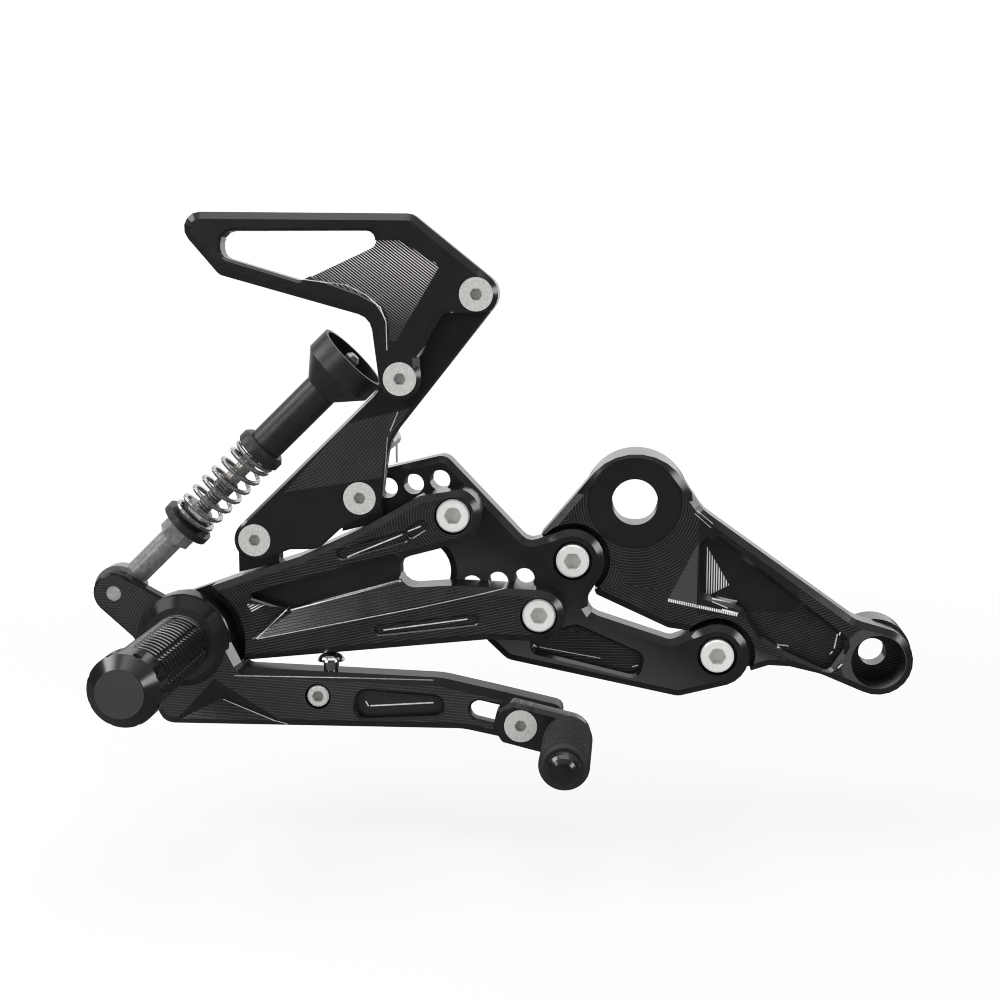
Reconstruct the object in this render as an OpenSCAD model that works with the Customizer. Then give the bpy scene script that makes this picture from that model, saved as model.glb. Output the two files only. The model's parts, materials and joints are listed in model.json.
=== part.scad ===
// Brake-side rear set of a motorbike: frame bracket, hole plate, footpeg bracket, heel guard,
// footpeg, brake lever with adjustable toe piece, and the pushrod to the master cylinder.
// The origin is the big frame bore, on the face that lies against the motorbike's frame.
// X is the riding direction, Y points at the motorbike, Z is up.

/* [Frame bracket] */
// Radius of the bore for the frame bolt
bore_r = 9; // [7:0.5:11]
// Length of that bore's wall, from the front pad
bore_len = 12.5; // [6:0.5:20]
// Radius of the recess behind it, for the frame's spigot
spigot_r = 12; // [11:0.5:15]
// Depth of the boss round the bore
bore_boss_depth = 32; // [24:1:40]
// Outer radius of the boss round the bore
bore_boss_r = 22; // [18:0.5:26]
// Outer radius of the raised pad round the bore
bore_pad_r = 17.5; // [14:0.5:20]
// Thickness of the bracket's plate
main_t = 13; // [10:0.5:16]
// How far the lug lies in front of the bore
lug_forward = 95.5; // [80:0.5:120]
// How far the lug lies below the bore
lug_drop = 62; // [45:0.5:80]
// Outer radius of the lug
lug_r = 13.5; // [12:0.5:18]
// Depth of the lug
lug_depth = 26; // [20:1:32]
// Radius of the lug's bolt hole
lug_hole_r = 5.5; // [4:0.5:6.5]
// Radius of the lug's counterbore
lug_cbore_r = 10.5; // [8:0.5:11.5]
// Depth of the lug's counterbore
lug_cbore_depth = 17; // [8:1:20]

/* [Hole plate] */
// Thickness of the hole plate
adj_t = 11; // [9:0.5:14]
// How far the hole plate stands in front of the frame bracket
adj_proud = 2; // [1:0.5:4]
// Pitch of the spare holes along a row
hole_pitch = 10.5; // [9.5:0.25:12]
// Tilt of a row of holes in degrees
hole_row_tilt = 9; // [5:1:13]
// Distance between the two rows of a group
hole_row_gap = 13.6; // [12:0.2:15]
// Radius of the tapped holes
hole_r = 4; // [3.9:0.05:4.2]
// Radius of the plate's round ends
adj_end_r = 12.5; // [11:0.5:14]

/* [Footpeg bracket] */
// Thickness of the footpeg bracket
peg_bracket_t = 15; // [13:0.5:18]
// Thickness of its flange behind the lever
peg_flange_t = 6; // [5:0.5:8]
// Outer radius of the flange
peg_flange_r = 17; // [15:0.5:19]
// Thickness of its ears behind the heel bracket
ear_t = 8; // [6:0.5:9]
// How far the footpeg lies behind the bore
peg_back = 176; // [160:1:190]
// How far the footpeg lies below the bore
peg_drop = 55; // [45:1:65]

/* [Heel guard] */
// Thickness of the heel bracket
heel_bracket_t = 7; // [6:0.5:8]
// Thickness of the heel guard
heel_guard_t = 8; // [6:0.5:10]
// Fall of the ribbed floor in the heel guard, per mm across it
guard_floor_fall = 0.13; // [0.05:0.01:0.16]

/* [Footpeg] */
// Length of the grooved footpeg body
footpeg_len = 61; // [50:1:80]
// Radius of the footpeg body
footpeg_r = 11.8; // [11:0.2:13]
// Number of ring grooves on the footpeg
footpeg_rings = 15; // [10:1:20]
// Radius of the footpeg's end cap
cap_r = 13.2; // [12.4:0.2:14]
// Length of the end cap
cap_len = 12; // [8:0.5:16]
// Number of round dimples in the end cap
cap_dimples = 8; // [6:1:12]

/* [Brake lever] */
// Thickness of the lever
lever_t = 11.7; // [9:0.1:13]
// Height of the lever's hub
hub_t = 14.7; // [13:0.1:17]
// Radius of the hub's face
hub_r = 14.6; // [13:0.2:16]
// Radius of the flare round the hub
hub_flare_r = 19; // [17:0.2:20]
// Radius of the steel sleeve that the lever turns on
pivot_r = 8; // [7:0.5:9]
// Wall of the bush in the lever's hub
bush_wall = 1.5; // [1:0.25:2]
// Radial running clearance of the bush
run_gap = 0.05; // [0.02:0.01:0.1]
// Thickness of the rear ear that carries the pushrod
rod_ear_t = 5.7; // [4.5:0.1:7]
// Width of the slot for the toe piece
toe_slot_w = 7.4; // [6.4:0.1:8]
// Length of that slot between its end centres
toe_slot_len = 20; // [14:0.5:24]
// Thickness of the lever round that slot
toe_web_t = 5; // [4:0.5:8]

/* [Toe piece] */
// Thickness of the toe link
toe_link_t = 8; // [6:0.5:10]
// Distance from the link's screw to the toe peg
toe_reach = 18.7; // [17:0.1:26]
// Radius of the rubber on the toe peg
toe_rubber_r = 9.4; // [7:0.2:11]
// Length of that rubber
toe_rubber_len = 34; // [25:1:45]
// Number of rings on the rubber
toe_rings = 11; // [6:1:14]

/* [Pushrod] */
// Radius of the pushrod
rod_r = 3; // [2.5:0.25:3.5]
// Distance from the rod end's eye to the pushrod's tip
rod_len = 134.4; // [120:1:150]
// Outer radius of the rod end's eye
eye_r = 10; // [9:0.5:11]
// Width of the rod end's eye
eye_t = 7; // [6:0.5:8]
// Radius of the ball in the rod end
ball_r = 6.4; // [6:0.1:7]
// Outer radius of the return spring
spring_r = 9; // [8:0.5:10]
// Radius of the spring wire
wire_r = 0.95; // [0.6:0.05:1.2]
// Number of turns of the spring
spring_turns = 6; // [4:0.5:8]
// Length of the fitted spring
spring_len = 38.5; // [32:0.5:45]
// Outer radius of the black sleeve's tube
tube_r = 7; // [6:0.25:8]
// Outer radius of the sleeve's cup
cup_r = 15; // [13:0.5:15.5]
// Wall of the sleeve's cup
cup_wall = 1.5; // [1:0.25:2.5]
// Length of the whole sleeve
sleeve_len = 54.4; // [48:0.2:60]

/* [Fasteners] */
// Head radius of the M8 cap screws
m8_head_r = 6.5; // [6:0.25:7]
// Head radius of the M6 countersunk screws
m6_head_r = 6.3; // [5.8:0.1:6.6]

/* [Hidden] */
$fn = 64;

// Clearance between pieces that only lie beside each other
gap = 0.3;
// How far a cutter reaches past the face that it opens
over = 1;
// Half width of the blocks that trim a plate to its thickness
reach = peg_back + lug_forward;
// Radius of the recess round the lever's hub
hub_recess_r = hub_flare_r + 5.6;
// Height of the pad behind the heel bracket that carries the master cylinder
pad_proud = 1;
// Radial play of a screw in its hole
screw_play = 0.1;

// Planes along Y, from the frame face at 0 towards the rider
main_front = -bore_boss_depth;
main_back = main_front + main_t;
adj_front = main_front - adj_proud;
adj_back = adj_front + adj_t;
peg_bracket_front = adj_front - peg_bracket_t;
flange_front = adj_front - peg_flange_t;
ear_front = adj_front - ear_t;
heel_front = ear_front - heel_bracket_t;
guard_front = heel_front - heel_guard_t;
lever_back = flange_front - gap;
lever_front = lever_back - lever_t;
hub_front = lever_back - hub_t;
rod_ear_front = lever_back - rod_ear_t;
peg_base = hub_front - gap;
link_front = lever_front - toe_link_t;
stop_y = (lever_front + lever_back) / 2;
web_back = lever_front + toe_web_t;

// Places along the pushrod, measured from the rod end's eye
seat_s = 37.6;
seat_t = 3;
bush_s = seat_s + seat_t;
nut_s = bush_s + 4;
hex_s = nut_s + 13.8;
sleeve_s = bush_s + spring_len;

// Rod end's ball width and race radius
ball_w = 9;
race_r = 7.6;

// Axes across the plates, each as [x, z]
bore_at = [0, 0];
boss_at = bore_at + [0.5, -3.5];
lug_at = [lug_forward, -lug_drop];
m1_at = [-24, -23.5];
m2_at = [33, -60.5];
row_dir = [cos(hole_row_tilt), sin(hole_row_tilt)];
row_down = [sin(29), -cos(29)];
upper_at = [-69.5, -4];
lower_at = [-36.3, -42.5];
heel_c_at = [-105.5, 2.5];
heel_d_at = [-147, -14.5];
guard_a_at = [-59.5, 80.5];
guard_b_at = [-88.3, 49];
peg_at = [-peg_back, -peg_drop];
rod_eye_at = peg_at + [-29, 17.7];
rod_y = lever_back + ball_w / 2;
rod_tilt = 45.8;
stop_run = 58;
below_a = peg_at + [17, -8.3];
below_b = lower_at + [-20, -9.8];
below_slope = (below_b.y - below_a.y) / (below_b.x - below_a.x);
stop_at = [peg_at.x + stop_run, below_a.y + below_slope * (peg_at.x + stop_run - below_a.x) - 0.2];
lock_at = peg_at + [53.6, -20.5];
slot_tilt = -12.5;
slot_dir = [cos(slot_tilt), sin(slot_tilt)];
slot_start = peg_at + [117, -24.4];
toe_screw_at = slot_start + 17 * slot_dir;
link_tilt = -13.5;
toe_peg_at = toe_screw_at + toe_reach * [cos(link_tilt), sin(link_tilt)];
notch_at = [-84.3, -28.5];
post_at = heel_c_at + [9.2, 21];

// Chamfers of the machined plates: width across the face, depth along Y
big_bevel = [2.6, 1.4];
fine_bevel = [1, 0.8];

// A point of an outline: place, offset and corner radius
function off(p, x, z, r = 0) = [p.x + x, p.y + z, r];

// Points round a place, from one angle to another
function around(p, r, from, to) =
    let (n = ceil(abs(to - from) / 15))
    [for (k = [0:n]) let (t = from + (to - from) * k / n) [p.x + r * cos(t), p.y + r * sin(t), 0]];

function unit(v) = v / norm(v);

// Points of one corner, as an arc of radius r
function corner(a, b, c, r, step = 30) =
    r == 0 ? [b] :
    let (u = unit(a - b), w = unit(c - b))
    let (half = acos(u * w) / 2)
    let (centre = b + unit(u + w) * r / sin(half))
    let (p = b + u * r / tan(half) - centre, q = b + w * r / tan(half) - centre)
    let (from = atan2(p.y, p.x), to = atan2(q.y, q.x))
    let (sweep = (to - from + 540) % 360 - 180)
    let (n = max(2, ceil(abs(sweep) / step)))
    [for (k = [0:n]) centre + r * [cos(from + sweep * k / n), sin(from + sweep * k / n)]];

// An outline with its corners rounded, from [x, z, r] points in anticlockwise order
function rounded(path) =
    let (n = len(path))
    let (flat = [for (p = path) [p.x, p.y]])
    [for (i = [0:n - 1]) each corner(flat[(i + n - 1) % n], flat[i], flat[(i + 1) % n], path[i][2])];

function left_of(v) = [-v.y, v.x];

// The same outline moved inwards by d
function inset(path, d) =
    let (n = len(path))
    [for (i = [0:n - 1])
        let (u = left_of(unit(path[i] - path[(i + n - 1) % n])))
        let (w = left_of(unit(path[(i + 1) % n] - path[i])))
        path[i] + (u + w) * d / (1 + u * w)];

// A slot with round ends, from a to b with half width r
function pill(a, b, r) =
    let (along = atan2(b.y - a.y, b.x - a.x))
    concat(
        [for (t = [-90:15:90]) b + r * [cos(along + t), sin(along + t)]],
        [for (t = [90:15:270]) a + r * [cos(along + t), sin(along + t)]]);

// A solid through copies of one outline, each level as [y, inset], from the back to the front
module stack(path, levels) {
    n = len(path);
    rings = [for (l = levels) each [for (p = inset(path, l[1])) [p.x, l[0], p.y]]];
    top = (len(levels) - 1) * n;
    polyhedron(rings, concat(
        [[for (i = [0:n - 1]) i]],
        [[for (i = [n - 1:-1:0]) top + i]],
        [for (k = [0:len(levels) - 2]) for (i = [0:n - 1])
            [k * n + i, k * n + n + i, k * n + n + (i + 1) % n, k * n + (i + 1) % n]]));
}

// Everything between two planes along Y
module slab(back, front) {
    translate([-reach, front, -reach])
        cube([2 * reach, back - front, 2 * reach]);
}

// A plate with a chamfered front edge and a finer chamfer behind
module plate(path, back, front, bevel = big_bevel) {
    slope = bevel[0] / bevel[1];
    intersection() {
        slab(back, front);
        stack(path, [
            [back + 0.5, 1],
            [back - 0.5, 0],
            [front + bevel[1], 0],
            [front - 0.3, bevel[0] + 0.3 * slope]
        ]);
    }
}

// A pocket from the front face, with a chamfered rim
module pocket(path, front, depth, rim = 0.8) {
    intersection() {
        slab(front + depth, front - over);
        stack(path, [[front + depth + over, 0], [front + rim, 0], [front - 2 * over, -rim - 2 * over]]);
    }
}

// A flat cut under a polygon: it starts on a crest line and gets deeper across it
module ramp(path, front, crest, angle, steep) {
    n = len(path);
    across = [-sin(angle), cos(angle)];
    polyhedron(
        concat(
            [for (p = path) [p.x, front - over, p.y]],
            [for (p = path) [p.x, front + steep * (p - crest) * across, p.y]]),
        concat(
            [[for (i = [n - 1:-1:0]) i]],
            [[for (i = [0:n - 1]) n + i]],
            [for (i = [0:n - 1]) [i, (i + 1) % n, n + (i + 1) % n, n + i]]));
}

// A cut of flat facets that fall from a rim to one deepest point
module pit(path, apex, front, depth) {
    n = len(path);
    wide = (depth + over) / depth;
    polyhedron(
        concat(
            [for (p = path) let (q = apex + (p - apex) * wide) [q.x, front - over, q.y]],
            [[apex.x, front + depth, apex.y]]),
        concat(
            [[for (i = [n - 1:-1:0]) i]],
            [for (i = [0:n - 1]) [i, (i + 1) % n, n]]));
}

// A round bar along Y between two planes
module bar(at, r, from, to) {
    translate([at.x, max(from, to), at.y])
        rotate([90, 0, 0])
            cylinder(r = r, h = abs(to - from));
}

// A cone along Y, with its radius at each plane
module cone(at, from, r_from, to, r_to) {
    translate([at.x, from, at.y])
        rotate([90, 0, 0])
            cylinder(r1 = r_from, r2 = r_to, h = from - to);
}

// A hexagonal bar along Y between two planes
module hex_bar(at, across, from, to) {
    translate([at.x, from, at.y])
        rotate([90, 0, 0])
            cylinder(r = across / sqrt(3), h = from - to, $fn = 6);
}

// Places what is drawn along +Z on the pushrod's axis
module on_rod(s = 0) {
    translate([rod_eye_at.x, rod_y, rod_eye_at.y])
        rotate([0, rod_tilt, 0])
            translate([0, 0, s])
                children();
}

// Frame bracket

main_outline = rounded(concat(
    around(boss_at, bore_boss_r, 30, 138),
    [
        off(m1_at, -12.4, 10),
        off(m1_at, -4, -2),
        off(m1_at, 4, -2),
        off(m1_at, 9.4, -13.8),
        off(m2_at, -19.4, 10.4, 3.4),
        off(m2_at, -9, 9)
    ],
    around(m2_at, adj_end_r - 0.5, 255, 300),
    [
        off(m2_at, 20, -2.4, 22),
        off(lug_at, -22, -5.5, 20)
    ],
    around(lug_at, lug_r, 246, 440),
    [
        off(lug_at, -9, 16.4, 12),
        off(bore_at, 26.5, -3, 14)
    ]));
arm_pocket = rounded([
    off(bore_at, 27, -14.2, 3),
    off(bore_at, 27, -36.5, 2.5),
    off(m2_at, 10, 19.2, 10),
    off(m2_at, 17.5, 7.5, 3),
    off(m2_at, 26.5, 1.7, 12),
    off(lug_at, -19.3, -4.4, 2.5),
    off(lug_at, -11.6, 7.2, 3.5),
    off(bore_at, 33, -15, 3)
]);

module main_bracket() {
    recess_r = adj_end_r + 2.3;
    pad_front = main_front - 0.8;
    boss_tip = adj_back + 12;
    color([0.07, 0.07, 0.08])
    difference() {
        union() {
            plate(main_outline, main_back, main_front);
            bar(boss_at, bore_boss_r - 0.6, 0, main_back - 2);
            bar(bore_at, bore_pad_r, main_front + 2, pad_front);
            bar(lug_at, lug_r + 1, main_front + lug_depth, main_back - 1);
            for (p = [m1_at, m2_at])
                bar(p, adj_end_r - 1.5, boss_tip, adj_back - 1);
        }
        for (p = [m1_at, m2_at]) {
            bar(p, recess_r, adj_back, main_front - over);
            bar(p, hole_r, boss_tip + over, adj_back - over);
        }
        bar(bore_at, bore_r, over, pad_front - over);
        bar(bore_at, spigot_r, over, pad_front + bore_len);
        bar(lug_at, lug_hole_r, main_front + lug_depth + over, main_front - over);
        bar(lug_at, lug_cbore_r, main_front + lug_cbore_depth, main_front - over);
        pocket(arm_pocket, main_front, 6, 1.6);
    }
}

// Hole plate

// Place of one tapped hole, counted back along a row and up from the lower row
function hole_at(base, back, up) = base - back * hole_pitch * row_dir - up * hole_row_gap * row_down;

adj_outline = rounded(concat(
    [
        off(hole_at(upper_at, 2, 1), -9.5, -2, 4),
        off(hole_at(upper_at, 2, 0), -8.5, -5, 5),
        off(hole_at(upper_at, 1, 0), -1, -8)
    ],
    [for (k = [5:-1:-2]) off(notch_at, 12.2 * cos(k * 11), 12.2 * sin(k * 11))],
    [
        off(hole_at(lower_at, 2, 1), -9, -4.5, 4),
        off(hole_at(lower_at, 2, 0), -9.6, -2, 6),
        off(lower_at, -13.4, -21.3, 6),
        off(m2_at, -15, -16.8, 6)
    ],
    around(m2_at, adj_end_r, 290, 463),
    [
        off(m2_at, -18.5, 6, 4),
        off(m1_at, 2.5, -19.5, 6)
    ],
    around(m1_at, adj_end_r, 325, 465),
    [
        off(m1_at, -17.5, 7.2, 5),
        off(hole_at(upper_at, 0, 1), 2, 10, 5),
        off(hole_at(upper_at, 2, 1), -10.5, 5.2, 4)
    ]));
adj_pocket = rounded([
    off(lower_at, -3.2, -12.4, 1.5),
    off(lower_at, -3, -17.5, 2),
    off(m2_at, -31, -9, 3.4),
    off(m2_at, -29.5, -0.5, 3),
    off(lower_at, 14, -7.3, 3)
]);

module adjuster_plate() {
    color([0.06, 0.06, 0.07])
    difference() {
        plate(adj_outline, adj_back, adj_front);
        translate([0, adj_back + over, 0])
            rotate([90, 0, 0])
                linear_extrude(adj_t + 2 * over)
                    for (base = [upper_at, lower_at], back = [0:2], up = [0:1])
                        translate(hole_at(base, back, up)) circle(hole_r);
        for (p = [m1_at, m2_at]) {
            bar(p, hole_r + 0.25, adj_back + over, adj_front - over);
            bar(p, m8_head_r + 1.3, adj_front + 7, adj_front - over);
        }
        pocket(adj_pocket, adj_front, 4, 1.2);
    }
}

// Footpeg bracket

peg_outline = rounded(concat(
    around(peg_at, peg_flange_r, 100, 292),
    [
        [below_a.x, below_a.y, 6],
        [below_b.x, below_b.y, 0]
    ],
    around(lower_at, 10, 267, 450),
    [
        off(lower_at, -34, 11.2, 30),
        off(lower_at, -56.2, 9.4, 6),
        off(lower_at, -53.6, 21.6, 6)
    ],
    around(upper_at, 11, 285, 430),
    [
        off(upper_at, -12.5, 7.6),
        off(heel_c_at, -0.5, -12.4),
        off(heel_d_at, 17.4, -6.4),
        off(heel_d_at, -6.6, -14.6)
    ]));

peg_pocket = rounded([
    off(peg_at, 42, 12.9, 1.5),
    off(lower_at, -54.5, 11.7, 1.5),
    off(lower_at, -53.2, 24.1, 3),
    off(lower_at, -73.2, 18.5, 20),
    off(peg_at, 24.8, 18.3, 1)
]);
low_facet = [
    off(peg_at, 25.9, 0.3),
    off(lower_at, -21.3, 8.5),
    off(lower_at, -21.7, 14.5),
    off(lower_at, -55.2, 13.2),
    off(peg_at, 43.1, 14.1)
];
rear_facet = [
    off(peg_at, 25.6, 1.1),
    off(peg_at, 41.4, 13.7),
    off(peg_at, 24.5, 15.6)
];
grooves = [
    [off(upper_at, -43.1, -15.4), off(upper_at, -19.2, -8.3)],
    [off(upper_at, -16.1, -6.6), off(upper_at, -12.1, -4)],
    [off(lower_at, -61.8, -6.7), off(lower_at, -25.4, -2)]
];

function flat(path) = [for (p = path) [p.x, p.y]];

// Pocket, facets and grooves in the bracket's face
module peg_face_cuts() {
    front = peg_bracket_front;
    pocket(peg_pocket, front, 6, 0.7);
    ramp(flat(low_facet), front, [low_facet[0].x + 1.7, low_facet[0].y + 0.9], 12.9, 0.35);
    ramp(flat(rear_facet), front, [rear_facet[2].x + 1, rear_facet[2].y], -84.7, 0.19);
    for (groove = grooves)
        pocket(pill(flat(groove)[0], flat(groove)[1], 1.9), front, 1.6, 0.5);
}

module peg_bracket() {
    color([0.07, 0.07, 0.08])
    difference() {
        union() {
            plate(peg_outline, adj_front, peg_bracket_front);
            ear(heel_c_at, 8);
            ear(heel_d_at, 8);
        }
        bar(peg_at, hub_recess_r, flange_front, peg_bracket_front - over);
        bar(peg_at, 4.25, adj_front + over, flange_front - over);
        for (p = [upper_at, lower_at]) {
            bar(p, hole_r + 0.25, adj_front + over, peg_bracket_front - over);
            bar(p, m8_head_r + 0.7, peg_bracket_front + 8.6, peg_bracket_front - over);
        }
        for (p = [heel_c_at, heel_d_at])
            bar(p, 3.1, adj_front + over, ear_front - over);
        peg_face_cuts();
    }
}

// An ear behind the heel bracket
module ear(at, r) {
    translate([0, adj_front - 0.5, 0])
        rotate([90, 0, 0])
            linear_extrude(ear_t - 0.5) {
                translate(at) circle(r);
                polygon([at + [-r, 0], at + [-r, -r - 6], at + [r, -r - 2], at + [r, 0]]);
            }
}

// Heel bracket

heel_outline = rounded(concat(
    around(heel_d_at, 8, 135, 288),
    [
        off(heel_d_at, 14, -3.4, 3),
        off(heel_c_at, -16.5, -20.2, 6),
        off(heel_c_at, -7.7, -12.1, 3),
        off(heel_c_at, 8, -4.6, 4),
        off(heel_c_at, 11.8, 22.5, 20)
    ],
    around(guard_a_at, 7.8, -42, 138),
    [
        off(guard_b_at, -6.3, 5.9, 10),
        off(guard_b_at, -9.9, -4.8, 10)
    ]));

module heel_bracket() {
    color([0.08, 0.08, 0.09])
    difference() {
        union() {
            plate(heel_outline, ear_front, heel_front, fine_bevel);
            cylinder_pad();
        }
        for (p = [heel_c_at, heel_d_at])
            flat_screw_hole(p, heel_front, heel_bracket_t);
        for (p = [guard_a_at, guard_b_at])
            bar(p, 3.1, ear_front + pad_proud + over, heel_front - over);
        bar(post_at, 2.6, ear_front + over, ear_front - 5);
    }
}

// Raised pad that the master cylinder's body bolts on
module cylinder_pad() {
    translate([0, ear_front + pad_proud, 0])
        rotate([90, 0, 0])
            linear_extrude(pad_proud + 0.5)
                polygon(pill(guard_b_at, guard_a_at, 6.5));
}

// Heel guard

guard_outline = rounded(concat(
    [
        off(guard_b_at, -68, 38.6, 4),
        off(guard_b_at, -10.9, 22.8, 7)
    ],
    around(guard_b_at, 8, 189, 368),
    [
        off(guard_b_at, 7.4, 9, 4),
        off(guard_a_at, -12.3, -6.9, 3)
    ],
    around(guard_a_at, 8.2, -54, 50),
    [
        off(guard_a_at, -23.6, 29.5, 5),
        off(guard_b_at, -88.2, 62, 6)
    ]));
guard_slot = rounded([
    off(guard_b_at, -67.2, 45.4, 4),
    off(guard_b_at, -37, 36.4, 2),
    off(guard_b_at, 3.7, 54.8, 3.4),
    off(guard_b_at, -67.2, 54.8, 4.5)
]);
guard_pocket = rounded([
    off(guard_b_at, -36, 39, 1),
    off(guard_b_at, -15, 31.6, 6),
    off(guard_b_at, -4.9, 26.4, 7),
    off(guard_b_at, -3.6, 16),
    off(guard_b_at, -0.8, 12.8, 1.5),
    off(guard_b_at, 5.3, 23),
    off(guard_a_at, -12.8, 9.8, 1.5),
    off(guard_a_at, -28.3, 19.8, 2),
    off(guard_a_at, -38.5, 19.8, 1)
]);

// Floor of the pocket: it falls from a crest at the pocket's right edge
guard_crest = [off(guard_a_at, -13.4, 9.6), off(guard_b_at, -0.9, 14)];
crest_line = flat(guard_crest)[0] - flat(guard_crest)[1];
floor_area = [
    off(guard_a_at, -13.4, 9.6),
    off(guard_a_at, -30, 30),
    off(guard_b_at, -50, 60),
    off(guard_b_at, -50, 20),
    off(guard_b_at, -0.9, 14)
];

module heel_guard() {
    color([0.06, 0.06, 0.07])
    difference() {
        plate(guard_outline, heel_front, guard_front);
        stack(guard_slot, [[heel_front + over, 0], [guard_front + 1, 0], [guard_front - over, -2]]);
        intersection() {
            pocket(guard_pocket, guard_front, heel_guard_t - 2, 0.6);
            ramp(flat(floor_area), guard_front, flat(guard_crest)[1],
                atan2(crest_line.y, crest_line.x), guard_floor_fall);
        }
        for (p = [guard_a_at, guard_b_at])
            flat_screw_hole(p, guard_front, heel_guard_t);
    }
}

// Screws

// A countersunk hole, from its face through a plate
module flat_screw_hole(at, face, depth) {
    bar(at, 3.1, face + depth + over, face - over);
    cone(at, face + 3.6, 3.1, face + 0.2, m6_head_r + 0.2);
    bar(at, m6_head_r + 0.2, face + 0.2, face - over);
}

// A countersunk M6 screw with a hexagon socket
module flat_screw(at, face, length) {
    color([0.72, 0.71, 0.69])
    difference() {
        union() {
            cone(at, face + 3.6, 2.99, face + 0.25, m6_head_r);
            bar(at, m6_head_r, face + 0.25, face + 0.05);
            bar(at, 3, face + length, face + 3.5);
        }
        hex_bar(at, 4, face + 2.4, face - over);
    }
}

// A cap screw with a hexagon socket
module cap_screw(at, seat, length, head_r, r, socket) {
    color([0.74, 0.73, 0.71])
    difference() {
        union() {
            bar(at, r, seat + length, seat - 0.5);
            bar(at, head_r, seat, seat - 2 * r + 0.6);
            cone(at, seat - 2 * r + 0.6, head_r, seat - 2 * r, head_r - 0.6);
        }
        hex_bar(at, socket, seat - r, seat - 2 * r - over);
    }
}

module plate_screw(at, seat, tip) {
    cap_screw(at, seat, tip - seat, m8_head_r, hole_r - screw_play, 6);
}

// Footpeg

module footpeg_body() {
    pitch = (footpeg_len - 10) / footpeg_rings;
    color([0.1, 0.1, 0.11])
    translate([peg_at.x, peg_base, peg_at.y])
        rotate([90, 0, 0])
            difference() {
                rotate_extrude()
                    polygon(concat(
                        [[4.1, 0], [footpeg_r - 0.8, 0], [footpeg_r, 0.8], [footpeg_r, 5]],
                        [for (k = [0:footpeg_rings - 1]) each [
                            [footpeg_r, 5.4 + k * pitch],
                            [footpeg_r - 1.1, 5.9 + k * pitch],
                            [footpeg_r - 1.1, 5.2 + (k + 0.55) * pitch],
                            [footpeg_r, 5.6 + (k + 0.55) * pitch]
                        ]],
                        [[footpeg_r, footpeg_len - 3], [8.6, footpeg_len - 3], [8.6, footpeg_len + 6],
                            [3.4, footpeg_len + 6], [3.4, 26], [4.1, 26]]));
                for (t = [0:45:315])
                    rotate([0, 0, t])
                        translate([footpeg_r + 0.6, 0, 4.6])
                            cylinder(r = 1.4, h = footpeg_len - 8.4);
            }
}

module footpeg_cap() {
    base = peg_base - footpeg_len + 3;
    color([0.07, 0.07, 0.08])
    difference() {
        union() {
            bar(peg_at, cap_r, base - gap, base - cap_len + 2.5);
            cone(peg_at, base - cap_len + 2.5, cap_r, base - cap_len - 1.5, cap_r - 4.4);
            bar(peg_at, cap_r - 4.4, base - cap_len - 1.4, base - cap_len - 2.2);
        }
        bar(peg_at, 8.7, base - 9.2, base + over);
        for (k = [0:cap_dimples - 1])
            translate([peg_at.x, base - cap_len + 4, peg_at.y])
                rotate([0, k * 360 / cap_dimples + 22.5, 0])
                    translate([cap_r, 0, 0])
                        rotate([0, 90, 0])
                            cylinder(r = 1.7, h = 2, center = true);
    }
}

module footpeg_bolt() {
    seat = adj_front + 1.6;
    color([0.7, 0.7, 0.68])
    difference() {
        union() {
            bar(peg_at, 4 - screw_play / 2, seat + 0.5, peg_base - 22);
            bar(peg_at, 6.5, seat, seat + 6);
        }
        hex_bar(peg_at, 6, seat + 6 + over, seat + 2);
    }
}

module footpeg_washer() {
    color([0.7, 0.7, 0.68])
    difference() {
        bar(peg_at, 8, adj_front, adj_front + 1.6);
        bar(peg_at, 4.3, adj_front - over, adj_front + 1.6 + over);
    }
}

module pivot_sleeve() {
    color([0.66, 0.65, 0.63])
    difference() {
        bar(peg_at, pivot_r, flange_front, peg_base);
        bar(peg_at, 4.1, flange_front + over, peg_base - over);
    }
}

// Spring post behind the heel bracket, with the wire that hooks on it

module spring_post() {
    color([0.75, 0.75, 0.73])
    union() {
        bar(post_at, 2.5, ear_front + 10, ear_front - 4.5);
        bar(post_at, 3.4, ear_front + 9, ear_front);
        bar(post_at, 3.4, ear_front + 18, ear_front + 10);
        bar(post_at, 2.5, ear_front + 11, ear_front + 9);
    }
}

module post_wires() {
    y = ear_front + 9.5;
    color([0.75, 0.75, 0.73])
    translate([post_at.x, y, post_at.y])
        rotate([90, 0, 0]) {
            rotate_extrude(angle = 180, $fn = 32)
                translate([2.95, 0])
                    circle(0.4, $fn = 16);
            for (side = [-1, 1])
                translate([side * 2.95, 0, 0])
                    rotate([90, 0, 0])
                        cylinder(r = 0.4, h = 9, $fn = 16);
        }
}

// Brake lever

lever_outline = rounded(concat(
    [
        off(peg_at, -9, -33.3, 6),
        off(slot_start, -6.6, -8.2, 25),
        off(toe_screw_at, 14.4, -12, 7),
        off(toe_screw_at, 15.8, 5.4, 3.5),
        off(slot_start, 7, 7.4, 30),
        off(slot_start, -15, 12, 30),
        off(peg_at, 24, -10, 4)
    ],
    around(peg_at, hub_flare_r, 0, 190),
    [off(peg_at, -16, -16, 8)]));
lever_pocket = rounded([
    off(slot_start, -49.3, -5, 4.2),
    off(slot_start, -14.6, -2.8, 3.2),
    off(slot_start, -14.6, 4.6, 3.2),
    off(slot_start, -47.6, 6.8, 4.2)
]);
ear_outline = rounded(concat(
    around(rod_eye_at, 8.3, 62, 225),
    [
        off(peg_at, -21.8, 0.2, 5),
        off(peg_at, -14, -12),
        off(peg_at, 0, 8),
        off(peg_at, -9, 16.3, 4)
    ]));

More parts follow.
